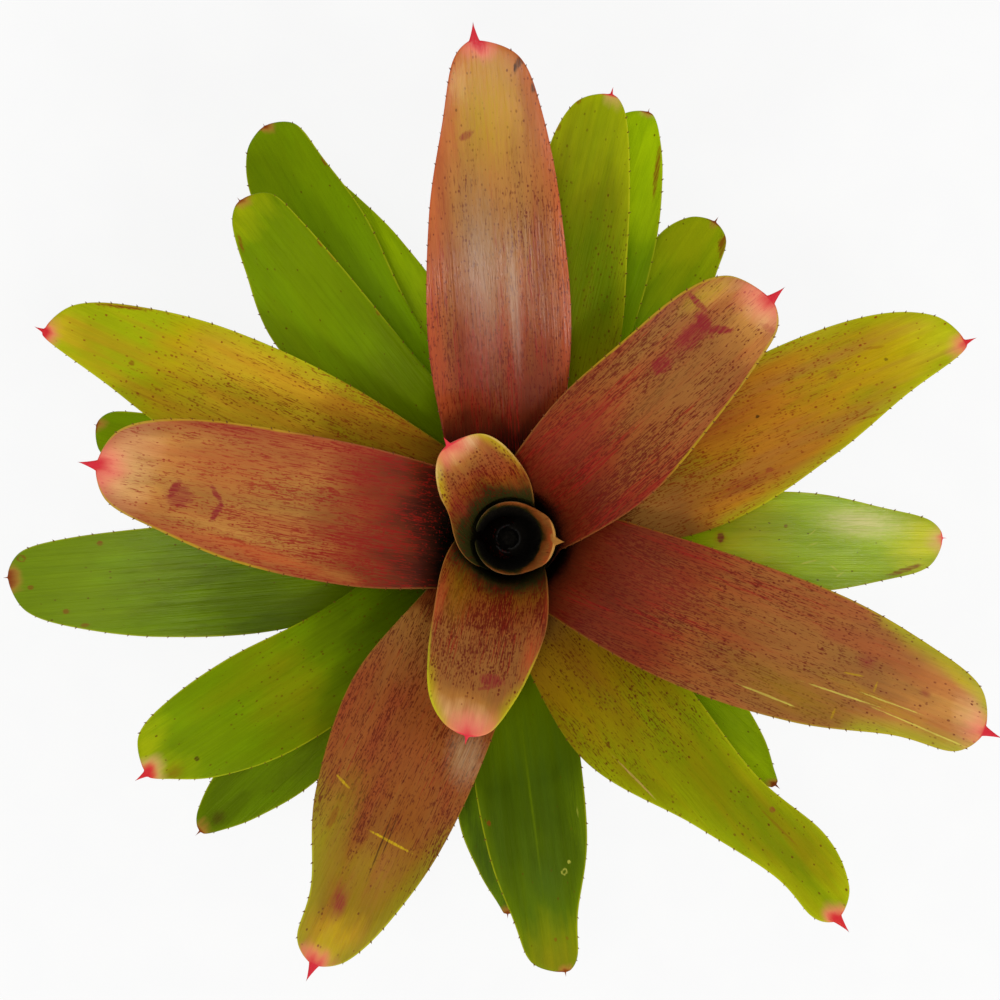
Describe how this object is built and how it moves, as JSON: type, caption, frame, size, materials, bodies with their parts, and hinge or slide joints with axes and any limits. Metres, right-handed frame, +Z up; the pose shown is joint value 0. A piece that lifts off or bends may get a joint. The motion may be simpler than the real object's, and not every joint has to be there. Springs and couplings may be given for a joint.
{
  "type": "potted neoregelia bromeliad",
  "caption": "Flat spreading rosette of spiny-edged red, olive and green strap leaves round a rolled heart leaf, on a short stem in a filled nursery pot.",
  "frame": {"origin": "centre of the pot's foot, on its flat middle pad and the surface that the pot stands on", "axes": "+Z up along the pot's axis and the stem; +Y the way that the long red leaf inner_leaf_4 points"},
  "size_m": [0.3242, 0.3091, 0.2312],
  "materials": {
    "heart_leaf": "waxy living leaf, tan-orange with red dots, dark olive at the base",
    "inner_leaf": "waxy living leaf, rust red with crimson streaks and a thin lime margin",
    "middle_leaf": "waxy living leaf, yellow-green to olive gold with small brown dashes",
    "outer_leaf": "waxy living leaf, fresh green with a thin pale margin",
    "stem": "dry leaf bases and root crown",
    "bark_mix": "damp bark chips and peat",
    "pot": "black moulded nursery pot, satin"
  },
  "bodies": {
    "root": {"heart_leaf_1": "heart_leaf", "heart_leaf_2": "heart_leaf", "heart_leaf_3": "heart_leaf", "inner_leaf_1": "inner_leaf", "inner_leaf_2": "inner_leaf", "inner_leaf_3": "inner_leaf", "inner_leaf_4": "inner_leaf", "inner_leaf_5": "inner_leaf", "middle_leaf_1": "middle_leaf", "middle_leaf_2": "middle_leaf", "middle_leaf_3": "middle_leaf", "middle_leaf_4": "middle_leaf", "middle_leaf_5": "middle_leaf", "outer_leaf_1": "outer_leaf", "outer_leaf_2": "outer_leaf", "outer_leaf_3": "outer_leaf", "outer_leaf_4": "outer_leaf", "outer_leaf_5": "outer_leaf", "outer_leaf_6": "outer_leaf", "outer_leaf_7": "outer_leaf", "outer_leaf_8": "outer_leaf", "outer_leaf_9": "outer_leaf", "outer_leaf_10": "outer_leaf", "outer_leaf_11": "outer_leaf", "outer_leaf_12": "outer_leaf", "stem": "stem", "bark_mix": "bark_mix", "pot": "pot"}
  },
  "joints": []
}
